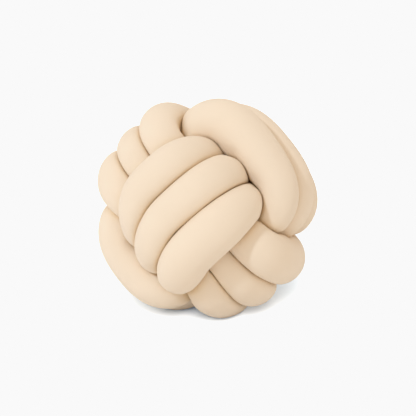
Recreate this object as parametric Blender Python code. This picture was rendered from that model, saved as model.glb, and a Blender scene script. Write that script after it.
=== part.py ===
"""A knot cushion: one long stuffed tube of jersey, tied round itself as a monkey's fist.

The knot has three bands, A, B and C, of three turns each. A band has its own directions u, v and w. Each
of its turns is a loop in the u-v plane: a front run over the outside of the ball at +u, an inner pass below
the next band at +v, a back run over the outside at -u, and an inner pass at -v that slides it one place
along w to the band's next turn. B is A with the axes moved round by one place, and C by two, so B lies over
A, C over B and A over C. Three links through the middle of the ball join the bands into one closed tube.

Where turns press on each other the skin of the tube lies flat, half way between their centrelines.

Run it in Blender 4.5. Metres, +Z up, the cushion standing on z = 0 with the ball's middle above the origin.
"""

import math
from dataclasses import dataclass, field

import bmesh
import bpy
import numpy as np
from mathutils import Euler
from mathutils.bvhtree import BVHTree

NODE = "knotted_tube"

# The tube
TUBE_RADIUS = 0.0335  # where nothing presses on it
LINK_RADIUS = 0.018  # inside the ball, between two bands
SKIN_GAP = 0.004  # between two turns that touch, wide enough for flat facets
SKIN_EASE = 0.006  # how softly the skin bends away from a flat contact
BEND_SHARE = 0.92  # share of a bend's radius that the skin may fill on its inner side

# The ball
LOOP_POWER = 3.0  # 2 makes every turn an ellipse, more makes it squarer
INNER_REACH = 0.057  # from the ball's middle to the centreline of an inner pass
INNER_PLUMP = 0.85  # share of its radius that the tube keeps there
INNER_DRAW = 0.25  # share by which a band's turns draw together on the inner passes
HOOK_START = 0.024  # from a run's middle to where its ends start to bend sideways
HOOK_LENGTH = 0.050
LINK_ASIDE = 0.020  # how far the links pass beside the ball's middle
LINK_LIFT = 0.010  # and over and under each other
BALL_TILT = (43.5, -16.5, -106.5)  # degrees about X, Y and Z, as the cushion was put down
FLAT_DEPTH = 0.010  # how far its weight presses it flat underneath
FLAT_SNAP = 0.002  # corners of facets nearer to the floor than this lie on it

# The turns' angles, in degrees, from the middle of the front run
FIRST_ANGLE, LAST_ANGLE = -48, 228  # where a band's first turn starts and its last one ends
SLIDE_ANGLES = (228, 312)  # where a turn slides to the next place
ANGLE_STEP = 2

# How finely it is made
STATIONS = 1200  # along the tube, to work out the skin
DIRECTIONS = 72  # round it
SECTIONS = 400  # kept along the tube
SIDES = 12  # kept round it
SKIN_ROUNDS = 300
CLEARING_STEP = 0.03  # share by which the corners of facets that cross are drawn in, and how often at most
CLEARING_ROUNDS = 20

JERSEY_COLOR = (0.86, 0.72, 0.55, 1.0)


@dataclass
class Run:
    """Half a turn, over the outside of the ball."""

    reach: float  # from the ball's middle to the centreline
    shift: float = 0.0  # sideways, along w
    tilt: float = 0.0  # sideways for each metre along v
    slide: float = 0.0  # along v
    start_reach: float = 0.030  # how much further than the inner pass the run goes at -v before it dives
    end_reach: float = 0.030  # and at +v
    start_hook: float = 0.0  # sideways bend of the -v end
    end_hook: float = 0.0  # and of the +v end
    plump: float = 1.0
    swell: float = 0.0  # how much plumper for each metre along v


@dataclass
class Turn:
    place: float  # along w
    front: Run
    back: Run
    end_inner: float = INNER_REACH  # reach of the inner pass at +v
    start_inner: float = INNER_REACH  # and at -v


BAND_A = (
    Turn(
        place=-0.048,
        front=Run(
            0.114,
            tilt=0.04,
            start_reach=0.024,
            end_reach=0.004,
            start_hook=-0.018,
            end_hook=0.019,
            plump=1.04,
            swell=-0.3,
        ),
        back=Run(0.112),
    ),
    Turn(
        place=0.0,
        front=Run(0.115, tilt=0.04, start_reach=0.036, end_reach=0.014, start_hook=-0.032),
        back=Run(0.112),
    ),
    Turn(
        place=0.0475,
        front=Run(
            0.110, tilt=0.04, start_reach=0.030, end_reach=0.005, start_hook=-0.060, end_hook=-0.026, plump=0.95
        ),
        back=Run(0.112),
        end_inner=0.050,
    ),
)
BAND_B = (
    Turn(place=-0.048, front=Run(0.105, start_reach=0.060, end_reach=0.044), back=Run(0.109)),
    Turn(
        place=0.0,
        front=Run(0.115, tilt=-0.04, slide=0.004, start_reach=0.056, end_reach=0.046, start_hook=0.008),
        back=Run(0.114),
    ),
    Turn(
        place=0.047,
        front=Run(
            0.107,
            tilt=-0.01,
            slide=0.006,
            start_reach=0.052,
            end_reach=0.060,
            start_hook=0.004,
            end_hook=-0.003,
            plump=0.98,
            swell=2.0,
        ),
        back=Run(0.110, end_reach=0.015),
    ),
)
BAND_C = (
    Turn(place=-0.052, front=Run(0.103, shift=0.002, end_hook=-0.018, plump=1.14), back=Run(0.103, end_reach=0.024)),
    Turn(
        place=-0.012,
        front=Run(0.117, end_hook=-0.012),
        back=Run(0.115, start_reach=0.0, end_reach=0.010, end_hook=-0.006),
    ),
    Turn(
        place=0.036,
        front=Run(0.117, shift=-0.005, end_hook=-0.018, plump=1.08),
        back=Run(0.112, shift=-0.002, tilt=0.04, start_reach=0.036, end_hook=-0.004, plump=1.05),
    ),
)
BANDS = (BAND_A, BAND_B, BAND_C)


@dataclass
class Path:
    """Points along the middle of the tube, each with the radius that the tube would have there."""

    points: np.ndarray
    radii: np.ndarray
    step: float = 0.0
    frames: tuple = field(default=())


def ease(share):
    """A smooth rise from 0 to 1."""
    share = np.clip(share, 0.0, 1.0)
    return share * share * (3.0 - 2.0 * share)


def turn_path(turn, place_before, place_after, first_angle, last_angle):
    """One turn, in its band's own directions."""
    angle = np.radians(np.arange(first_angle, last_angle, ANGLE_STEP))
    along_u, along_v = np.cos(angle), np.sin(angle)
    ahead, ending = along_u > 0.0, along_v > 0.0

    def by_run(name):
        return np.where(ahead, getattr(turn.front, name), getattr(turn.back, name))

    # the loop: an oval that is wider near its corners than on its inner passes
    extra = np.where(ending, by_run("end_reach"), by_run("start_reach"))
    inner = np.where(ending, turn.end_inner, turn.start_inner) + extra * along_u**2
    oval = np.abs(along_u / by_run("reach")) ** LOOP_POWER + np.abs(along_v / inner) ** LOOP_POWER
    radius = oval ** (-1.0 / LOOP_POWER)
    u, v = radius * along_u, radius * along_v

    # its place in the stack, with half of each slide from and to its neighbours
    slide_from, slide_to = np.radians(SLIDE_ANGLES)
    going = ease((angle - slide_from) / (slide_to - slide_from))
    coming = ease((angle + 2.0 * math.pi - slide_from) / (slide_to - slide_from))
    w = turn.place + (place_after - turn.place) * going + (place_before - turn.place) * (1.0 - coming)
    w = w * (1.0 - INNER_DRAW * along_v**6)

    # the runs' own shapes, which fade out towards the inner passes
    on_run = along_u**2
    hook = np.where(ending, by_run("end_hook"), by_run("start_hook"))
    bend = (np.clip(np.abs(v) - HOOK_START, 0.0, None) / HOOK_LENGTH) ** 2
    w = w + on_run * (by_run("shift") + by_run("tilt") * v) + np.abs(along_u) * hook * bend
    v = v + on_run * by_run("slide")
    plump = INNER_PLUMP + on_run * (by_run("plump") + by_run("swell") * v - INNER_PLUMP)
    return Path(np.column_stack((u, v, w)), TUBE_RADIUS * plump)


def band_path(band, axis_moves):
    """The three turns of a band, one after another, in the knot's own directions."""
    paths = []
    for number, turn in enumerate(band):
        first, last = number == 0, number == len(band) - 1
        paths.append(
            turn_path(
                turn,
                turn.place if first else band[number - 1].place,
                turn.place if last else band[number + 1].place,
                FIRST_ANGLE if first else -90,
                LAST_ANGLE if last else 270,
            )
        )
    points = np.vstack([path.points for path in paths])
    return Path(np.roll(points, axis_moves, axis=1), np.concatenate([path.radii for path in paths]))


def unit(vector):
    return vector / np.linalg.norm(vector)


def link_path(before, after, axis_moves, count=60):
    """From the end of one band to the start of the next, past the middle of the ball."""
    start, end = before.points[-1], after.points[0]
    middle = np.roll((-LINK_ASIDE, 0.0, 0.0), axis_moves)
    corners = (
        (start, unit(start - before.points[-2]), middle, unit(end - start)),
        (middle, unit(end - start), end, unit(after.points[1] - end)),
    )
    halves = []
    for here, direction, there, next_direction in corners:
        t = np.linspace(0.0, 1.0, count, endpoint=False)[:, None]
        pull = 0.9 * np.linalg.norm(there - here)
        halves.append(
            (2 * t**3 - 3 * t**2 + 1) * here
            + (t**3 - 2 * t**2 + t) * direction * pull
            + (3 * t**2 - 2 * t**3) * there
            + (t**3 - t**2) * next_direction * pull
        )
    points = np.vstack(halves)
    # one half passes under the next link, the other over the last one
    sway = -LINK_LIFT * np.sin(np.linspace(0.0, 2.0 * math.pi, len(points)))
    points = points + sway[:, None] * unit(np.ones(3))
    return Path(points[1:], np.full(len(points) - 1, LINK_RADIUS))


def whole_path():
    """The closed middle line of the whole tube, evenly spaced and smooth, tilted as the ball lies."""
    bands = [band_path(band, number) for number, band in enumerate(BANDS)]
    pieces = []
    for number, band in enumerate(bands):
        pieces += [band, link_path(band, bands[(number + 1) % len(bands)], number)]
    path = Path(np.vstack([p.points for p in pieces]), np.concatenate([p.radii for p in pieces]))
    for _ in range(2):
        path = evenly_spaced(path, STATIONS)
        path.points = smoothed(path.points, path.step, 0.007)
        path.radii = smoothed(path.radii, path.step, 0.014)
    tilt = Euler([math.radians(angle) for angle in BALL_TILT]).to_matrix()
    path.points = path.points @ np.array(tilt).T
    path.frames = rolling_frames(path.points)
    return path


def evenly_spaced(path, count):
    """The same closed line through count points, equal distances apart."""
    points = np.vstack((path.points, path.points[:1]))
    distance = np.concatenate(([0.0], np.cumsum(np.linalg.norm(np.diff(points, axis=0), axis=1))))
    at = np.arange(count) * distance[-1] / count
    spaced = np.column_stack([np.interp(at, distance, points[:, axis]) for axis in range(3)])
    radii = np.interp(at, distance, np.append(path.radii, path.radii[0]))
    return Path(spaced, radii, distance[-1] / count)


def smoothed(values, step, width):
    """A Gaussian blur of that width along the closed tube."""
    frequency = np.fft.rfftfreq(len(values), step)
    keep = np.exp(-0.5 * (2.0 * math.pi * frequency * width) ** 2)
    keep = keep.reshape(-1, *[1] * (values.ndim - 1))
    return np.fft.irfft(np.fft.rfft(values, axis=0) * keep, len(values), axis=0)


def rolling_frames(points):
    """Two directions square to the line at each point, which turn no more than they must and meet at the end."""
    ahead = np.roll(points, -1, axis=0) - np.roll(points, 1, axis=0)
    ahead /= np.linalg.norm(ahead, axis=1)[:, None]
    side = np.empty_like(points)
    side[0] = unit(np.cross(ahead[0], (0.0, 0.0, 1.0)))
    count = len(points)
    for number in range(count):
        # carry the direction over to the next point by two reflections
        chord = unit(points[(number + 1) % count] - points[number])
        moved = side[number] - 2.0 * (chord @ side[number]) * chord
        turned = ahead[number] - 2.0 * (chord @ ahead[number]) * chord
        mirror = unit(ahead[(number + 1) % count] - turned)
        moved = moved - 2.0 * (mirror @ moved) * mirror
        if number + 1 < count:
            side[number + 1] = moved
    twist = math.atan2(moved @ np.cross(side[0], ahead[0]), moved @ side[0])
    angle = -twist * np.arange(count)[:, None] / count
    other = np.cross(side, ahead)
    side = side * np.cos(angle) + other * np.sin(angle)
    return side, np.cross(side, ahead)


def farthest_skin(path, directions, floor):
    """How far the skin may reach in each direction before it meets another turn, its own bend or the floor."""
    count = len(path.points)
    own_span = 3.0 * TUBE_RADIUS
    neighbourhood = 2.6 * TUBE_RADIUS
    numbers = np.arange(count)
    limit = np.full(directions.shape[:2], 1.0)
    for number, point in enumerate(path.points):
        offset = path.points - point
        squared = np.einsum("ij,ij->i", offset, offset)
        along = np.abs(numbers - number)
        along = np.minimum(along, count - along) * path.step
        near = (squared < neighbourhood**2) & (along > 0.0)
        own = along[near] < own_span
        lead = np.where(own, 0.0, path.radii[near] - path.radii[number] + SKIN_GAP)
        facing = 2.0 * (directions[number] @ offset[near].T + lead)
        meets = (squared[near] - lead**2) / np.maximum(facing, 1e-9)
        meets = meets * np.where(own, BEND_SHARE, 1.0)
        limit[number] = np.minimum(limit[number], np.where(facing > 1e-9, meets, 1.0).min(axis=1))
    down = np.maximum(-directions[:, :, 2], 1e-6)
    return np.minimum(limit, (path.points[:, 2, None] - floor) / down)


def settled_skin(path, limit):
    """The distance from the line to the skin: as round as the limit lets it be, with soft edges."""
    along = (SKIN_EASE / path.step) ** 2
    around = (SKIN_EASE * DIRECTIONS / (2.0 * math.pi * TUBE_RADIUS)) ** 2
    wanted = path.radii[:, None]
    reach = np.minimum(limit, wanted)
    for _ in range(SKIN_ROUNDS):
        beside = along * (np.roll(reach, 1, axis=0) + np.roll(reach, -1, axis=0))
        beside += around * (np.roll(reach, 1, axis=1) + np.roll(reach, -1, axis=1))
        reach = np.minimum(limit, (wanted + beside) / (1.0 + 2.0 * along + 2.0 * around))
    return reach


def tube_skin():
    """Points on the skin, a ring for each station, with the cushion standing on z = 0."""
    path = whole_path()
    side, other = path.frames
    angle = np.linspace(0.0, 2.0 * math.pi, DIRECTIONS, endpoint=False)[None, :, None]
    directions = side[:, None] * np.cos(angle) + other[:, None] * np.sin(angle)
    floor = (path.points[:, 2] - path.radii).min() + FLAT_DEPTH
    reach = settled_skin(path, farthest_skin(path, directions, floor))
    path.points[:, 2] -= floor
    skin = path.points[:, None] + directions * reach[:, :, None]
    skin[:, :, 2] = np.maximum(skin[:, :, 2], 0.0)
    return path, skin


def kept_stations(path, count):
    """Numbers of the stations to keep: closer together where the tube bends."""
    ahead = np.roll(path.points, -1, axis=0) - path.points
    ahead /= np.linalg.norm(ahead, axis=1)[:, None]
    bend = np.linalg.norm(ahead - np.roll(ahead, 1, axis=0), axis=1)
    need = path.step / (2.0 * TUBE_RADIUS) + smoothed(bend, path.step, 0.010)
    total = np.concatenate(([0.0], np.cumsum(need)))
    wanted = np.arange(count) * total[-1] / count
    return np.unique(np.searchsorted(total, wanted))


def jersey_material():
    material = bpy.data.materials.new("cream_jersey")
    material.use_nodes = True
    shader = material.node_tree.nodes["Principled BSDF"]
    shader.inputs["Base Color"].default_value = JERSEY_COLOR
    shader.inputs["Roughness"].default_value = 0.9
    shader.inputs["Metallic"].default_value = 0.0
    return material


def cleared(rings, middles):
    """The same rings with no facets of one turn in another's: where some cross, their corners are drawn in."""
    count, sides = rings.shape[:2]
    number = np.arange(count * sides).reshape(count, sides)
    after, beside = np.roll(number, -1, axis=0), np.roll(number, -1, axis=1)
    across = np.roll(after, -1, axis=1)
    # each facet halved both ways
    halves = [(number, after, across), (number, across, beside), (number, after, beside), (after, across, beside)]
    triangles = np.vstack([np.stack(half, axis=-1).reshape(-1, 3) for half in halves])
    for _ in range(CLEARING_ROUNDS):
        tree = BVHTree.FromPolygons(rings.reshape(-1, 3).tolist(), triangles.tolist(), all_triangles=True)
        crossing = tree.overlap(tree)
        if not crossing:
            break
        pull = np.zeros(count * sides)
        pull[triangles[np.array(crossing)]] = CLEARING_STEP
        rings = rings + pull.reshape(count, sides, 1) * (middles[:, None] - rings)
    return rings


def knotted_tube():
    """The skin's kept sections, each bridged to the next all the way round the knot."""
    path, skin = tube_skin()
    kept = kept_stations(path, SECTIONS)
    rings = skin[kept, :: DIRECTIONS // SIDES]
    rings[:, :, 2] = np.where(rings[:, :, 2] < FLAT_SNAP, 0.0, rings[:, :, 2])
    rings = cleared(rings, path.points[kept])
    rings[:, :, :2] -= (rings.min(axis=(0, 1)) + rings.max(axis=(0, 1)))[:2] / 2.0
    mesh = bmesh.new()
    corners = [[mesh.verts.new(point) for point in ring] for ring in rings]
    for ring, after in zip(corners, corners[1:] + corners[:1]):
        for side in range(SIDES):
            beside = (side + 1) % SIDES
            mesh.faces.new((ring[side], after[side], after[beside], ring[beside]))
    bmesh.ops.recalc_face_normals(mesh, faces=mesh.faces)
    data = bpy.data.meshes.new(NODE)
    mesh.to_mesh(data)
    mesh.free()
    data.materials.append(jersey_material())
    data.shade_smooth()
    tube = bpy.data.objects.new(NODE, data)
    bpy.context.collection.objects.link(tube)
    return tube


def main():
    for thing in list(bpy.data.objects):
        bpy.data.objects.remove(thing, do_unlink=True)
    knotted_tube()


if __name__ == "__main__":
    main()
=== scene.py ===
"""Finishes the knot cushion: its one stuffed jersey tube as a fine mesh, its material, and a studio.

The tube is tied as a monkey's fist of three bands, A, B and C, with three turns each. A band has its own
directions u, v and w. Each of its turns is a loop in the u-v plane: a front run over the outside of the ball
at +u, an inner pass below the next band at +v, a back run over the outside at -u, and an inner pass at -v
that slides it one place along w to the band's next turn. B is A with the axes moved round by one place, and
C by two, so B lies over A, C over B and A over C. Three links through the middle of the ball join the bands
into one closed tube. Where turns press on each other the skin lies flat, half way between their centrelines.

Metres, +Z up, the cushion standing on z = 0.
"""

import math
from dataclasses import dataclass

import bpy
import numpy as np
from mathutils import Euler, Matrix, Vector


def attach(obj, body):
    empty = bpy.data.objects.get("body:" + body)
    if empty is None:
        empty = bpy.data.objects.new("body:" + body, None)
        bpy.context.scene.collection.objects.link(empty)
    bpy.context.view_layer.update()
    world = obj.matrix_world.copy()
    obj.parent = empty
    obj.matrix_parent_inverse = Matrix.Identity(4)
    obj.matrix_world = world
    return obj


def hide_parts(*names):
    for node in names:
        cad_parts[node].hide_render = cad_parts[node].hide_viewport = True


bl_info = {
    "name": "Knot Cushion",
    "version": (1, 0, 0),
    "blender": (4, 5, 0),
    "location": "View3D > Sidebar > Knot Cushion",
    "description": "Ties, stuffs and dresses a knot cushion and sets a studio round it",
    "category": "Object",
}

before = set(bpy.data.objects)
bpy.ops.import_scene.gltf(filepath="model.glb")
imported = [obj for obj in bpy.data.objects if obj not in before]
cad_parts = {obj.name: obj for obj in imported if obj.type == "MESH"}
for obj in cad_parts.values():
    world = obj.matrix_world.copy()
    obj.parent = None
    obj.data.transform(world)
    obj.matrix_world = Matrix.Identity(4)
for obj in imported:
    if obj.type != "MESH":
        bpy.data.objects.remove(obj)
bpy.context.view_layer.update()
CAD_NODE = "knotted_tube"

# The turns' angles, in degrees, from the middle of the front run
FIRST_ANGLE, LAST_ANGLE = -48, 228  # where a band's first turn starts and its last one ends
TURN_START, TURN_END = -90, 270  # where its other turns start and end
SLIDE_ANGLES = (228, 312)  # where a turn slides to the next place
ANGLE_STEP = 2

# The tube's middle line
DRAW_POWER = 6  # more makes a band's turns draw together later on their way in
LINK_POINTS = 60  # on each half of a link
LINK_PULL = 0.9  # how far a half keeps the directions of its ends, as a share of its span
SMOOTHING_ROUNDS = 2
LINE_BLUR = 0.007  # how widely the line's points are smoothed
RADIUS_BLUR = 0.014  # and its radii

# Its skin
OWN_SPAN = 3.0  # how much of the tube, in radii, counts as one bend
NEIGHBOURHOOD = 2.6  # how far away, in radii, another turn is looked for
FREE_REACH = 1.0  # more than any radius, where nothing is in the way
SKIN_ROUNDS = 300
MERGE_DISTANCE = 1e-6
TINY = 1e-9  # stands in for zero where something is divided by it

# Its cloth as it settles
CLOTH_QUALITY = 5
STIFFNESS = 0.5  # against bending

# The jersey's knit and colour
YARN_LEAN = 1.4  # courses that a leg of yarn climbs for each wale across
STITCH_POWER = 0.6  # less makes the stitches fuller
STITCH_DIP = 0.55  # how far the yarn dips between two stitches
FUZZ_SCALE, CLOUD_SCALE = 1500.0, 22.0
NOISE_DETAIL = 2.0
FUZZ_RELIEF = 0.6  # as a share of the stitches' depth
PLAIN_LIGHT, KNIT_PAINTED_LIGHT, CLOUD_LIGHT, FUZZ_LIGHT = 0.35, 0.35, 0.25, 0.1  # shares of the lighter colour: the knit's paints light on raised yarn and shade in its hollows, the clouds' and fuzz's are the yarn's uneven tone
PAINTED_HOLLOW_SHADE_AND_TONE = (0.90, 0.86, 0.80)  # painted shade of the cream in the hollows between the yarns, also the darker end of its uneven tone
PAINTED_RAISED_LIGHT_AND_TONE = 1.02  # painted light where the yarns stand out, also the lighter end of its uneven tone
PAINTED_CREASE_SHADE = (0.96, 0.90, 0.76, 1.0)  # painted shade in the creases, where a turn presses on the next one
CREASE_SHADE_RISE = 10.0  # how steeply the painted crease shade comes in

# The studio
BOUNCE_DEPTH = 0.001  # under the floor
LIGHT_DISTANCE = 2.0
BALL_HEIGHT = 0.1391  # of the ball's middle above the floor
SENSOR_WIDTH = 36.0  # millimetres, as the lens
CAMERA_SHIFT = -0.0015  # sideways, as a share of the picture


@dataclass
class Run:
    """Half a turn, over the outside of the ball."""

    reach: float  # from the ball's middle to the centreline
    shift: float = 0.0  # sideways, along w
    tilt: float = 0.0  # sideways for each metre along v
    slide: float = 0.0  # along v
    start_reach: float = 0.030  # how much further than the inner pass the run goes at -v before it dives
    end_reach: float = 0.030  # and at +v
    start_hook: float = 0.0  # sideways bend of the -v end
    end_hook: float = 0.0  # and of the +v end
    plump: float = 1.0  # share of the tube's radius
    swell: float = 0.0  # how much plumper for each metre along v


@dataclass
class Turn:
    """One loop of the tube round the ball."""

    place: float  # along w
    front: Run
    back: Run
    end_inner: float = 0.057  # reach of the inner pass at +v
    start_inner: float = 0.057  # and at -v


BAND_A = (
    Turn(
        place=-0.048,
        front=Run(
            0.114,
            tilt=0.04,
            start_reach=0.024,
            end_reach=0.004,
            start_hook=-0.018,
            end_hook=0.019,
            plump=1.04,
            swell=-0.3,
        ),
        back=Run(0.112),
    ),
    Turn(
        place=0.0,
        front=Run(0.115, tilt=0.04, start_reach=0.036, end_reach=0.014, start_hook=-0.032),
        back=Run(0.112),
    ),
    Turn(
        place=0.0475,
        front=Run(0.110, tilt=0.04, end_reach=0.005, start_hook=-0.060, end_hook=-0.026, plump=0.95),
        back=Run(0.112),
        end_inner=0.050,
    ),
)
BAND_B = (
    Turn(place=-0.048, front=Run(0.105, start_reach=0.060, end_reach=0.044), back=Run(0.109)),
    Turn(
        place=0.0,
        front=Run(0.115, tilt=-0.04, slide=0.004, start_reach=0.056, end_reach=0.046, start_hook=0.008),
        back=Run(0.114),
    ),
    Turn(
        place=0.047,
        front=Run(
            0.107,
            tilt=-0.01,
            slide=0.006,
            start_reach=0.052,
            end_reach=0.060,
            start_hook=0.004,
            end_hook=-0.003,
            plump=0.98,
            swell=2.0,
        ),
        back=Run(0.110, end_reach=0.015),
    ),
)
BAND_C = (
    Turn(
        place=-0.052,
        front=Run(0.103, shift=0.002, end_hook=-0.018, plump=1.14),
        back=Run(0.103, end_reach=0.024),
    ),
    Turn(
        place=-0.012,
        front=Run(0.117, end_hook=-0.012),
        back=Run(0.115, start_reach=0.0, end_reach=0.010, end_hook=-0.006),
    ),
    Turn(
        place=0.036,
        front=Run(0.117, shift=-0.005, end_hook=-0.018, plump=1.08),
        back=Run(0.112, shift=-0.002, tilt=0.04, start_reach=0.036, end_hook=-0.004, plump=1.05),
    ),
)
BANDS = (BAND_A, BAND_B, BAND_C)


@dataclass
class Pocket:
    """A place where turns that meet leave a little hollow between them."""

    place: tuple
    depth: float
    width: float  # over which it fades out


POCKETS = (
    # where B's nearest turn comes out from under C
    Pocket(place=(-0.035, -0.020, 0.260), depth=0.004, width=0.006),
    Pocket(place=(-0.035, -0.030, 0.250), depth=0.004, width=0.006),
    # at the starts of A's turns
    Pocket(place=(-0.100, -0.060, 0.105), depth=0.004, width=0.007),
    Pocket(place=(-0.070, -0.105, 0.085), depth=0.004, width=0.007),
    Pocket(place=(-0.030, -0.090, 0.040), depth=0.004, width=0.008),
    # and at their ends
    Pocket(place=(0.030, -0.060, 0.230), depth=0.003, width=0.006),
    Pocket(place=(0.060, -0.080, 0.195), depth=0.003, width=0.006),
    Pocket(place=(0.075, -0.095, 0.155), depth=0.003, width=0.007),
)


@dataclass
class Sun:
    """A light from far away, in degrees left of the camera, above the floor and across."""

    azimuth: float
    elevation: float
    softness: float
    colour: tuple


KEY_SUN = Sun(azimuth=45.0, elevation=38.0, softness=4.0, colour=(0.80, 1.0, 1.27))
SWEEP_SUN = Sun(azimuth=4.0, elevation=27.0, softness=27.0, colour=(1.14, 1.0, 0.90))


class TubeSettings(bpy.types.PropertyGroup):
    """Sizes of the stuffed tube and of the ball that it is tied into."""

    radius: bpy.props.FloatProperty(
        name="Tube radius", description="Where nothing presses on the tube", default=0.0335, unit="LENGTH"
    )
    link_radius: bpy.props.FloatProperty(
        name="Link radius", description="Inside the ball, between two bands", default=0.018, unit="LENGTH"
    )
    gap: bpy.props.FloatProperty(
        name="Gap",
        description="Between two turns as they are tied",
        default=0.0001,
        precision=4,
        unit="LENGTH",
    )
    ease: bpy.props.FloatProperty(
        name="Ease",
        description="How softly the skin bends away from a flat contact",
        default=0.003,
        unit="LENGTH",
    )
    bend_share: bpy.props.FloatProperty(
        name="Bend share",
        description="Share of a bend's radius that the skin may fill inside it",
        default=0.92,
    )
    loop_power: bpy.props.FloatProperty(
        name="Loop power", description="2 makes every turn an ellipse, more makes it squarer", default=3.0
    )
    inner_draw: bpy.props.FloatProperty(
        name="Inner draw",
        description="How far a band's turns draw together on the inner passes",
        default=0.25,
    )
    inner_plump: bpy.props.FloatProperty(
        name="Inner plump",
        description="Share of its radius that the tube keeps on the inner passes",
        default=0.85,
    )
    hook_start: bpy.props.FloatProperty(
        name="Hook start",
        description="From a run's middle to where its ends bend",
        default=0.024,
        unit="LENGTH",
    )
    hook_length: bpy.props.FloatProperty(
        name="Hook length", description="Over which an end bends by its hook", default=0.050, unit="LENGTH"
    )
    link_aside: bpy.props.FloatProperty(
        name="Link aside", description="How far a link passes beside the middle", default=0.020, unit="LENGTH"
    )
    link_lift: bpy.props.FloatProperty(
        name="Link lift", description="How far links pass over each other", default=0.010, unit="LENGTH"
    )
    ball_tilt: bpy.props.FloatVectorProperty(
        name="Ball tilt",
        description="How the ball was put down",
        default=[math.radians(angle) for angle in (43.5, -16.5, -106.5)],
        unit="ROTATION",
        subtype="EULER",
    )
    flat_depth: bpy.props.FloatProperty(
        name="Flat depth",
        description="How far its weight presses the ball flat",
        default=0.010,
        unit="LENGTH",
    )
    stations: bpy.props.IntProperty(name="Stations", description="Rings along the tube", default=960)
    directions: bpy.props.IntProperty(name="Directions", description="Points round a ring", default=48)
    pressure: bpy.props.FloatProperty(
        name="Pressure", description="Of the filling on the jersey", default=4.0
    )
    spacing: bpy.props.FloatProperty(
        name="Spacing",
        description="That settling keeps between turns",
        default=0.0006,
        precision=4,
        unit="LENGTH",
    )
    settle_frames: bpy.props.IntProperty(
        name="Settle frames", description="For which the jersey settles", default=8
    )
    settle_cap: bpy.props.FloatProperty(
        name="Settle cap",
        description="How far settling may move a point",
        default=0.0005,
        precision=4,
        unit="LENGTH",
    )


class JerseySettings(bpy.types.PropertyGroup):
    """The knitted cloth."""

    cream: bpy.props.FloatVectorProperty(
        name="Cream", description="Colour of the yarn", subtype="COLOR", default=(0.90, 0.745, 0.565)
    )
    wale: bpy.props.FloatProperty(
        name="Wale", description="Width of a column of stitches", default=0.0012, precision=5, unit="LENGTH"
    )
    course: bpy.props.FloatProperty(
        name="Course", description="Height of a row of stitches", default=0.0009, precision=5, unit="LENGTH"
    )
    relief: bpy.props.FloatProperty(
        name="Relief", description="Depth of the stitches", default=0.00016, precision=5, unit="LENGTH"
    )


class StudioSettings(bpy.types.PropertyGroup):
    """Camera, light and floor."""

    distance: bpy.props.FloatProperty(
        name="Distance", description="From the camera to the ball's middle", default=1.9, unit="LENGTH"
    )
    elevation: bpy.props.FloatProperty(
        name="Elevation", description="Of the camera", default=math.radians(15.0), unit="ROTATION"
    )
    lens: bpy.props.FloatProperty(name="Lens", description="On a 36 mm sensor", default=121.7, unit="CAMERA")
    floor_size: bpy.props.FloatProperty(
        name="Floor size", description="Side of it", default=24.0, unit="LENGTH"
    )
    floor_colour: bpy.props.FloatVectorProperty(
        name="Floor colour", description="As the camera sees it", subtype="COLOR", default=(0.78, 0.89, 0.99)
    )
    floor_glow: bpy.props.FloatVectorProperty(
        name="Floor glow",
        description="Cools the floor's shadow",
        subtype="COLOR",
        default=(0.0, 0.014, 0.034),
    )
    bounce_colour: bpy.props.FloatVectorProperty(
        name="Bounce colour",
        description="Of the floor as the cushion sees it",
        subtype="COLOR",
        default=(0.93, 0.93, 0.93),
    )
    white: bpy.props.FloatProperty(name="White", description="Of the floor in the picture", default=0.947)
    air_colour: bpy.props.FloatVectorProperty(
        name="Air colour",
        description="Of the light from all round",
        subtype="COLOR",
        default=(1.08, 1.0, 0.92),
    )
    air: bpy.props.FloatProperty(name="Air", description="Strength of the light from all round", default=0.83)
    key: bpy.props.FloatProperty(name="Key", description="Strength of the light from the left", default=1.04)
    sweep: bpy.props.FloatProperty(
        name="Sweep", description="Strength of the light on the floor alone", default=6.1
    )


@dataclass
class Path:
    """Points along the middle of the tube, each with the radius that the tube would have there."""

    points: np.ndarray
    radii: np.ndarray
    step: float = 0.0
    frames: tuple = ()


def smooth_rise(share):
    """A smooth rise from 0 to 1."""
    share = np.clip(share, 0.0, 1.0)
    return share * share * (3.0 - 2.0 * share)


def turn_path(sizes, turn, place_before, place_after, first_angle, last_angle):
    """One turn, in its band's own directions."""
    angle = np.radians(np.arange(first_angle, last_angle, ANGLE_STEP))
    along_u, along_v = np.cos(angle), np.sin(angle)
    ahead, ending = along_u > 0.0, along_v > 0.0

    def by_run(name):
        return np.where(ahead, getattr(turn.front, name), getattr(turn.back, name))

    # the loop: an oval that is wider near its corners than on its inner passes
    extra = np.where(ending, by_run("end_reach"), by_run("start_reach"))
    inner = np.where(ending, turn.end_inner, turn.start_inner) + extra * along_u**2
    oval = np.abs(along_u / by_run("reach")) ** sizes.loop_power + np.abs(along_v / inner) ** sizes.loop_power
    radius = oval ** (-1.0 / sizes.loop_power)
    u, v = radius * along_u, radius * along_v

    # its place in the stack, with half of each slide from and to its neighbours
    slide_from, slide_to = np.radians(SLIDE_ANGLES)
    going = smooth_rise((angle - slide_from) / (slide_to - slide_from))
    coming = smooth_rise((angle + 2.0 * math.pi - slide_from) / (slide_to - slide_from))
    w = turn.place + (place_after - turn.place) * going + (place_before - turn.place) * (1.0 - coming)
    w = w * (1.0 - sizes.inner_draw * along_v**DRAW_POWER)

    # the runs' own shapes, which fade out towards the inner passes
    on_run = along_u**2
    hook = np.where(ending, by_run("end_hook"), by_run("start_hook"))
    bend = (np.clip(np.abs(v) - sizes.hook_start, 0.0, None) / sizes.hook_length) ** 2
    w = w + on_run * (by_run("shift") + by_run("tilt") * v) + np.abs(along_u) * hook * bend
    v = v + on_run * by_run("slide")
    plump = sizes.inner_plump + on_run * (by_run("plump") + by_run("swell") * v - sizes.inner_plump)
    return Path(np.column_stack((u, v, w)), sizes.radius * plump)


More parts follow.
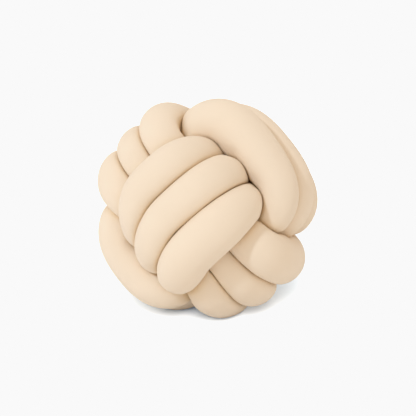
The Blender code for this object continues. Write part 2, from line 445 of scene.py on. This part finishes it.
def band_path(sizes, band, axis_moves):
    """The three turns of a band, one after another, in the knot's own directions."""
    paths = []
    for number, turn in enumerate(band):
        first, last = number == 0, number == len(band) - 1
        paths.append(
            turn_path(
                sizes,
                turn,
                turn.place if first else band[number - 1].place,
                turn.place if last else band[number + 1].place,
                FIRST_ANGLE if first else TURN_START,
                LAST_ANGLE if last else TURN_END,
            )
        )
    points = np.vstack([path.points for path in paths])
    return Path(np.roll(points, axis_moves, axis=1), np.concatenate([path.radii for path in paths]))


def unit(vector):
    """The vector at a length of 1."""
    return vector / np.linalg.norm(vector)


def link_path(sizes, before, after, axis_moves):
    """From the end of one band to the start of the next, past the middle of the ball."""
    start, end = before.points[-1], after.points[0]
    middle = np.roll((-sizes.link_aside, 0.0, 0.0), axis_moves)
    corners = (
        (start, unit(start - before.points[-2]), middle, unit(end - start)),
        (middle, unit(end - start), end, unit(after.points[1] - end)),
    )
    halves = []
    for here, direction, there, next_direction in corners:
        t = np.linspace(0.0, 1.0, LINK_POINTS, endpoint=False)[:, None]
        pull = LINK_PULL * np.linalg.norm(there - here)
        halves.append(
            (2 * t**3 - 3 * t**2 + 1) * here
            + (t**3 - 2 * t**2 + t) * direction * pull
            + (3 * t**2 - 2 * t**3) * there
            + (t**3 - t**2) * next_direction * pull
        )
    points = np.vstack(halves)
    # one half passes under the next link, the other over the last one
    sway = -sizes.link_lift * np.sin(np.linspace(0.0, 2.0 * math.pi, len(points)))
    points = points + sway[:, None] * unit(np.ones(3))
    return Path(points[1:], np.full(len(points) - 1, sizes.link_radius))


def whole_path(sizes):
    """The closed middle line of the whole tube, evenly spaced and smooth, tilted as the ball lies."""
    bands = [band_path(sizes, band, number) for number, band in enumerate(BANDS)]
    pieces = []
    for number, band in enumerate(bands):
        pieces += [band, link_path(sizes, band, bands[(number + 1) % len(bands)], number)]
    path = Path(np.vstack([p.points for p in pieces]), np.concatenate([p.radii for p in pieces]))
    for _ in range(SMOOTHING_ROUNDS):
        path = evenly_spaced(path, sizes.stations)
        path.points = smoothed(path.points, path.step, LINE_BLUR)
        path.radii = smoothed(path.radii, path.step, RADIUS_BLUR)
    tilt = Euler(sizes.ball_tilt).to_matrix()
    path.points = path.points @ np.array(tilt).T
    path.frames = rolling_frames(path.points)
    return path


def evenly_spaced(path, count):
    """The same closed line through count points, equal distances apart."""
    points = np.vstack((path.points, path.points[:1]))
    distance = np.concatenate(([0.0], np.cumsum(np.linalg.norm(np.diff(points, axis=0), axis=1))))
    at = np.arange(count) * distance[-1] / count
    spaced = np.column_stack([np.interp(at, distance, points[:, axis]) for axis in range(3)])
    radii = np.interp(at, distance, np.append(path.radii, path.radii[0]))
    return Path(spaced, radii, distance[-1] / count)


def smoothed(values, step, width):
    """A Gaussian blur of that width along the closed tube."""
    frequency = np.fft.rfftfreq(len(values), step)
    keep = np.exp(-0.5 * (2.0 * math.pi * frequency * width) ** 2)
    keep = keep.reshape(-1, *[1] * (values.ndim - 1))
    return np.fft.irfft(np.fft.rfft(values, axis=0) * keep, len(values), axis=0)


def rolling_frames(points):
    """Two directions square to the line at each point, which turn little and meet at the end."""
    ahead = np.roll(points, -1, axis=0) - np.roll(points, 1, axis=0)
    ahead /= np.linalg.norm(ahead, axis=1)[:, None]
    side = np.empty_like(points)
    side[0] = unit(np.cross(ahead[0], (0.0, 0.0, 1.0)))
    count = len(points)
    for number in range(count):
        # carry the direction over to the next point by two reflections
        chord = unit(points[(number + 1) % count] - points[number])
        moved = side[number] - 2.0 * (chord @ side[number]) * chord
        turned = ahead[number] - 2.0 * (chord @ ahead[number]) * chord
        mirror = unit(ahead[(number + 1) % count] - turned)
        moved = moved - 2.0 * (mirror @ moved) * mirror
        if number + 1 < count:
            side[number + 1] = moved
    twist = math.atan2(moved @ np.cross(side[0], ahead[0]), moved @ side[0])
    angle = -twist * np.arange(count)[:, None] / count
    other = np.cross(side, ahead)
    side = side * np.cos(angle) + other * np.sin(angle)
    return side, np.cross(side, ahead)


def farthest_skin(sizes, path, directions, floor):
    """How far the skin may reach each way before it meets another turn, its own bend or the floor."""
    count = len(path.points)
    own_span = OWN_SPAN * sizes.radius
    neighbourhood = NEIGHBOURHOOD * sizes.radius
    numbers = np.arange(count)
    limit = np.empty(directions.shape[:2])
    for number, point in enumerate(path.points):
        offset = path.points - point
        squared = np.einsum("ij,ij->i", offset, offset)
        along = np.abs(numbers - number)
        along = np.minimum(along, count - along) * path.step
        near = (squared < neighbourhood**2) & (along > 0.0)
        own = along[near] < own_span
        lead = np.where(own, 0.0, path.radii[near] - path.radii[number] + sizes.gap)
        facing = 2.0 * (directions[number] @ offset[near].T + lead)
        meets = (squared[near] - lead**2) / np.maximum(facing, TINY)
        meets = meets * np.where(own, sizes.bend_share, 1.0)
        limit[number] = np.where(facing > TINY, meets, FREE_REACH).min(axis=1)
    down = np.maximum(-directions[:, :, 2], TINY)
    return np.minimum(limit, (path.points[:, 2, None] - floor) / down)


def settled_skin(sizes, path, limit):
    """The distance from the line to the skin: as round as the limit lets it be, with soft edges."""
    along = (sizes.ease / path.step) ** 2
    around = (sizes.ease * sizes.directions / (2.0 * math.pi * sizes.radius)) ** 2
    wanted = path.radii[:, None]
    reach = np.minimum(limit, wanted)
    for _ in range(SKIN_ROUNDS):
        beside = along * (np.roll(reach, 1, axis=0) + np.roll(reach, -1, axis=0))
        beside += around * (np.roll(reach, 1, axis=1) + np.roll(reach, -1, axis=1))
        reach = np.minimum(limit, (wanted + beside) / (1.0 + 2.0 * along + 2.0 * around))
    return reach


def tube_skin(sizes):
    """The line, and rings of points on its skin, standing on z = 0, with how far each is squeezed in: the
    mask of the painted crease shade.
    """
    path = whole_path(sizes)
    side, other = path.frames
    angle = np.linspace(0.0, 2.0 * math.pi, sizes.directions, endpoint=False)[None, :, None]
    directions = side[:, None] * np.cos(angle) + other[:, None] * np.sin(angle)
    floor = (path.points[:, 2] - path.radii).min() + sizes.flat_depth
    reach = settled_skin(sizes, path, farthest_skin(sizes, path, directions, floor))
    path.points[:, 2] -= floor
    skin = path.points[:, None] + directions * reach[:, :, None]
    skin[:, :, 2] = np.maximum(skin[:, :, 2], 0.0)
    skin[:, :, :2] -= (skin.min(axis=(0, 1)) + skin.max(axis=(0, 1)))[:2] / 2.0
    return path, with_pockets(skin, directions), 1.0 - reach / path.radii[:, None]


def with_pockets(skin, directions):
    """The skin, drawn in towards its line at each pocket."""
    for pocket in POCKETS:
        squared = ((skin - pocket.place) ** 2).sum(axis=2, keepdims=True)
        skin = skin - directions * pocket.depth * np.exp(-0.5 * squared / pocket.width**2)
    return skin


def closed_tube(skin, pressed):
    """A grid moved to the skin, with its edges merged and its UV map along the tube."""
    count, sides = skin.shape[:2]
    bpy.ops.mesh.primitive_grid_add(x_subdivisions=count, y_subdivisions=sides, size=1.0)
    tube = bpy.context.object
    wrapped = np.dstack((skin, pressed))
    wrapped = np.concatenate((wrapped, wrapped[:1]))
    wrapped = np.concatenate((wrapped, wrapped[:, :1]), axis=1)
    wrapped = wrapped.transpose(1, 0, 2).reshape(-1, 4).astype(np.float32)
    tube.data.vertices.foreach_set("co", wrapped[:, :3].ravel())
    # the squeeze is kept as the mask of the painted shade in the creases
    tube.data.attributes.new("pressed", "FLOAT", "POINT").data.foreach_set("value", wrapped[:, 3])
    bpy.ops.object.mode_set(mode="EDIT")
    bpy.ops.mesh.select_all(action="SELECT")
    bpy.ops.mesh.remove_doubles(threshold=MERGE_DISTANCE)
    bpy.ops.mesh.normals_make_consistent(inside=False)
    bpy.ops.object.mode_set(mode="OBJECT")
    bpy.ops.object.shade_smooth()
    return tube


def points_of(mesh):
    """Where the mesh's points are, a row for each."""
    points = np.empty(3 * len(mesh.vertices))
    mesh.vertices.foreach_get("co", points)
    return points.reshape(-1, 3)


def settle_jersey(scene, tube, sizes):
    """Let the jersey settle a little as cloth that its filling blows up, turn against turn."""
    cloth = tube.modifiers.new("jersey", "CLOTH")
    cloth.settings.quality = CLOTH_QUALITY
    cloth.settings.use_pressure = True
    cloth.settings.uniform_pressure_force = sizes.pressure
    cloth.settings.effector_weights.gravity = 0.0
    cloth.settings.bending_stiffness = STIFFNESS
    cloth.collision_settings.use_collision = False
    cloth.collision_settings.use_self_collision = True
    cloth.collision_settings.self_distance_min = sizes.spacing
    cloth.point_cache.frame_start, cloth.point_cache.frame_end = 1, sizes.settle_frames
    for number in range(1, sizes.settle_frames + 1):
        scene.frame_set(number)
    tied = points_of(tube.data)
    move = points_of(tube.evaluated_get(bpy.context.evaluated_depsgraph_get()).data) - tied
    tube.modifiers.remove(cloth)
    scene.frame_set(1)

    far = np.linalg.norm(move, axis=1)[:, None]
    settled = tied + move * np.minimum(1.0, sizes.settle_cap / np.maximum(far, TINY))
    settled[:, 2] = np.maximum(settled[:, 2], 0.0)
    tube.data.vertices.foreach_set("co", settled.ravel())
    tube.data.update()
    smooth = tube.modifiers.new("smooth", "SUBSURF")
    smooth.levels = smooth.render_levels = 1


class Graph:
    """A material's node tree."""

    def __init__(self, name):
        self.material = bpy.data.materials.new(name)
        self.material.use_nodes = True
        self.tree = self.material.node_tree
        self.shader = self.tree.nodes["Principled BSDF"]

    def node(self, kind, settings=None, **sockets):
        """A node of that kind: its settings first, then its sockets, by name or as in_0, in_1 and so on."""
        node = self.tree.nodes.new(kind)
        for key, setting in (settings or {}).items():
            setattr(node, key, setting)
        for key, value in sockets.items():
            socket = node.inputs[int(key[3:])] if key.startswith("in_") else node.inputs[key]
            self.feed(socket, value)
        return node

    def feed(self, socket, value):
        """Link a value to the socket, or set a constant on it."""
        if isinstance(value, Value):
            self.tree.links.new(value.socket, socket)
        else:
            socket.default_value = value

    def value(self, node, output=0):
        """A node's output, to count with."""
        return Value(self, node.outputs[output])


class Value:
    """A socket that gives a number. An expression on values adds its Math nodes."""

    def __init__(self, graph, socket):
        self.graph, self.socket = graph, socket

    def maths(self, operation, *numbers):
        sockets = {f"in_{place}": number for place, number in enumerate(numbers)}
        return self.graph.value(self.graph.node("ShaderNodeMath", {"operation": operation}, **sockets))

    def __add__(self, other):
        return self.maths("ADD", self, other)

    def __radd__(self, other):
        return self.maths("ADD", other, self)

    def __sub__(self, other):
        return self.maths("SUBTRACT", self, other)

    def __mul__(self, other):
        return self.maths("MULTIPLY", self, other)

    def __rmul__(self, other):
        return self.maths("MULTIPLY", other, self)

    def __pow__(self, other):
        return self.maths("POWER", self, other)

    def __abs__(self):
        return self.maths("ABSOLUTE", self)

    def sine(self):
        return self.maths("SINE", self)

    def fraction(self):
        return self.maths("FRACT", self)

    def at_most(self, other):
        return self.maths("MINIMUM", self, other)


def jersey_material(settings, length, girth):
    """Fine cream jersey: columns of V stitches along the tube, a little fuzz and a faint unevenness, with
    painted light and shade on the stitches and painted shade in the creases.
    """
    graph = Graph("cream_jersey")
    along_around = graph.node("ShaderNodeTexCoord").outputs["UV"]
    separate = graph.node("ShaderNodeSeparateXYZ", Vector=Value(graph, along_around))
    along, around = graph.value(separate, "X"), graph.value(separate, "Y")

    # a wale's two legs of yarn lean towards its middle, a stitch in every course
    leg = abs((around * round(girth / settings.wale)).fraction() - 0.5)
    round_leg = (leg * (2.0 * math.pi)).sine()
    climb = along * round(length / settings.course) - leg * YARN_LEAN
    stitch = abs((climb * math.pi).sine()) ** STITCH_POWER
    knit = round_leg * (1.0 - STITCH_DIP + STITCH_DIP * stitch)

    here = Value(graph, graph.node("ShaderNodeTexCoord").outputs["Object"])
    noise = {"Vector": here, "Detail": NOISE_DETAIL}
    fuzz = graph.value(graph.node("ShaderNodeTexNoise", Scale=FUZZ_SCALE, **noise), "Fac")
    cloudy = graph.value(graph.node("ShaderNodeTexNoise", Scale=CLOUD_SCALE, **noise), "Fac")
    height = knit + fuzz * FUZZ_RELIEF
    bump = graph.node("ShaderNodeBump", Strength=1.0, Distance=settings.relief, Height=height)
    graph.feed(graph.shader.inputs["Normal"], graph.value(bump))

    # painted shade in the stitches' hollows and painted light on the raised yarn, mixed with the yarn's own
    # uneven tone
    hollow = [channel * shade for channel, shade in zip(settings.cream, PAINTED_HOLLOW_SHADE_AND_TONE)]
    raised = [channel * PAINTED_RAISED_LIGHT_AND_TONE for channel in settings.cream]
    stitch_shading_and_tone = graph.node(
        "ShaderNodeMix",
        {"data_type": "RGBA"},
        in_0=PLAIN_LIGHT + knit * KNIT_PAINTED_LIGHT + cloudy * CLOUD_LIGHT + fuzz * FUZZ_LIGHT,
        in_6=(*hollow, 1.0),
        in_7=(*raised, 1.0),
    )
    # painted shade: the yarn is darkened and browned in the creases, where one turn presses on the next
    pressed = graph.value(graph.node("ShaderNodeAttribute", {"attribute_name": "pressed"}), "Fac")
    crease_shaded_colour = graph.node(
        "ShaderNodeMix",
        {"data_type": "RGBA", "blend_type": "MULTIPLY"},
        in_0=(pressed * CREASE_SHADE_RISE).at_most(1.0),
        in_6=graph.value(stitch_shading_and_tone, 2),
        in_7=PAINTED_CREASE_SHADE,
    )
    graph.feed(graph.shader.inputs["Base Color"], graph.value(crease_shaded_colour, 2))
    graph.feed(graph.shader.inputs["Roughness"], 0.86 + fuzz * 0.1)
    graph.feed(graph.shader.inputs["Specular IOR Level"], 0.25)
    graph.feed(graph.shader.inputs["Sheen Weight"], 0.15)
    graph.feed(graph.shader.inputs["Sheen Roughness"], 0.6)
    return graph.material


class KNOTCUSHION_OT_tie_tube(bpy.types.Operator):
    """Make the stuffed jersey tube, tied as it lies"""

    bl_idname = "knot_cushion.tie_tube"
    bl_label = "Tie the tube"

    def execute(self, context):
        sizes = context.scene.knot_tube
        path, skin, pressed = tube_skin(sizes)
        tube = closed_tube(skin, pressed)
        tube.name = tube.data.name = "stuffed_tube"
        settle_jersey(context.scene, tube, sizes)
        length = path.step * len(path.points)
        girth = 2.0 * math.pi * sizes.radius
        tube.data.materials.append(jersey_material(context.scene.knot_jersey, length, girth))
        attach(tube, "root")
        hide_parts(CAD_NODE)
        return {"FINISHED"}


def matt(name, colour, glow=(0.0, 0.0, 0.0)):
    """A plain matt finish that may glow a little."""
    graph = Graph(name)
    graph.feed(graph.shader.inputs["Base Color"], (*colour, 1.0))
    graph.feed(graph.shader.inputs["Roughness"], 1.0)
    graph.feed(graph.shader.inputs["Specular IOR Level"], 0.0)
    graph.feed(graph.shader.inputs["Emission Color"], (*glow, 1.0))
    graph.feed(graph.shader.inputs["Emission Strength"], 1.0)
    return graph.material


def plane(name, size, height, material):
    """A level square in the middle of the studio."""
    bpy.ops.mesh.primitive_plane_add(size=size, location=(0.0, 0.0, height))
    square = bpy.context.object
    square.name = square.data.name = name
    square.data.materials.append(material)
    return square


def studio_floor(settings):
    """The floor that the camera sees, and under it the dimmer one that only the cushion sees."""
    # cool, so that the shadow stays grey where the air and what the cushion throws back are warm
    floor_white = matt("floor_white", settings.floor_colour, settings.floor_glow)
    floor = plane("floor", settings.floor_size, 0.0, floor_white)
    floor.visible_diffuse = floor.visible_shadow = False
    bounce_white = matt("bounce_white", settings.bounce_colour)
    bounce = plane("bounce_floor", settings.floor_size, -BOUNCE_DEPTH, bounce_white)
    bounce.visible_camera = False
    return floor


def studio_air(scene, settings):
    """An even, slightly warm light from all round."""
    world = bpy.data.worlds.new("studio_air")
    world.use_nodes = True
    background = world.node_tree.nodes["Background"]
    background.inputs["Color"].default_value = (*settings.air_colour, 1.0)
    background.inputs["Strength"].default_value = settings.air
    scene.world = world


def sun_light(name, sun, strength):
    """A sun lamp that shines from where the sun stands to the middle of the studio."""
    azimuth, elevation = math.radians(sun.azimuth), math.radians(sun.elevation)
    level = math.cos(elevation)
    towards = Vector((-math.sin(azimuth) * level, -math.cos(azimuth) * level, math.sin(elevation)))
    bpy.ops.object.light_add(type="SUN", location=towards * LIGHT_DISTANCE)
    light = bpy.context.object
    light.name = name
    light.rotation_euler = towards.to_track_quat("Z", "Y").to_euler()
    light.data.energy = strength
    light.data.angle = math.radians(sun.softness)
    light.data.color = sun.colour
    return light


def studio_lights(settings, floor):
    """The floor has the sweep to itself, and the key lights all but the floor."""
    key = sun_light("key_light", KEY_SUN, settings.key)
    sweep = sun_light("sweep_light", SWEEP_SUN, settings.sweep)
    for light, state in ((sweep, "INCLUDE"), (key, "EXCLUDE")):
        receivers = bpy.data.collections.new(f"{light.name}_receivers")
        receivers.objects.link(floor)
        receivers.collection_objects[0].light_linking.link_state = state
        light.light_linking.receiver_collection = receivers


def studio_camera(scene, settings):
    """A long lens that looks at the ball's middle from the front and a little above."""
    bpy.ops.object.camera_add(rotation=(math.pi / 2.0 - settings.elevation, 0.0, 0.0))
    camera = bpy.context.object
    camera.name = "camera"
    back = Vector((0.0, -math.cos(settings.elevation), math.sin(settings.elevation)))
    camera.location = Vector((0.0, 0.0, BALL_HEIGHT)) + back * settings.distance
    camera.data.sensor_width = SENSOR_WIDTH
    camera.data.lens = settings.lens
    camera.data.shift_x = CAMERA_SHIFT
    scene.camera = camera


def cap_white(view, white):
    """Let nothing in the picture be brighter than the floor's white."""
    view.view_transform = "Standard"
    view.use_curve_mapping = True
    curves = view.curve_mapping
    all_channels = curves.curves[3]
    all_channels.points[1].location = (white, white)
    all_channels.points.new(1.0, white)
    for point in all_channels.points:
        point.handle_type = "VECTOR"
    curves.extend = "HORIZONTAL"
    curves.update()


class KNOTCUSHION_OT_set_studio(bpy.types.Operator):
    """Add the pale floor, the soft lights and the camera"""

    bl_idname = "knot_cushion.set_studio"
    bl_label = "Set the studio"

    def execute(self, context):
        settings = context.scene.knot_studio
        bpy.ops.object.select_all(action="DESELECT")
        floor = studio_floor(settings)
        studio_air(context.scene, settings)
        studio_lights(settings, floor)
        studio_camera(context.scene, settings)
        cap_white(context.scene.view_settings, settings.white)
        return {"FINISHED"}


class KNOTCUSHION_PT_sidebar(bpy.types.Panel):
    """Shows the cushion's settings, with buttons that tie the tube and set the studio."""

    bl_label = "Knot Cushion"
    bl_idname = "KNOTCUSHION_PT_sidebar"
    bl_space_type = "VIEW_3D"
    bl_region_type = "UI"
    bl_category = "Knot Cushion"

    def draw(self, context):
        layout = self.layout
        for group, operator in (
            (context.scene.knot_tube, KNOTCUSHION_OT_tie_tube),
            (context.scene.knot_jersey, None),
            (context.scene.knot_studio, KNOTCUSHION_OT_set_studio),
        ):
            box = layout.box()
            for name in group.__annotations__:
                box.prop(group, name)
            if operator:
                box.operator(operator.bl_idname)


SETTINGS = {"knot_tube": TubeSettings, "knot_jersey": JerseySettings, "knot_studio": StudioSettings}
CLASSES = (*SETTINGS.values(), KNOTCUSHION_OT_tie_tube, KNOTCUSHION_OT_set_studio, KNOTCUSHION_PT_sidebar)


def register():
    for kind in CLASSES:
        bpy.utils.register_class(kind)
    for name, kind in SETTINGS.items():
        setattr(bpy.types.Scene, name, bpy.props.PointerProperty(type=kind))


def unregister():
    for name in SETTINGS:
        delattr(bpy.types.Scene, name)
    for kind in reversed(CLASSES):
        bpy.utils.unregister_class(kind)


def main():
    register()
    bpy.ops.object.select_all(action="DESELECT")
    bpy.ops.knot_cushion.tie_tube()
    bpy.ops.knot_cushion.set_studio()


if __name__ == "__main__":
    main()
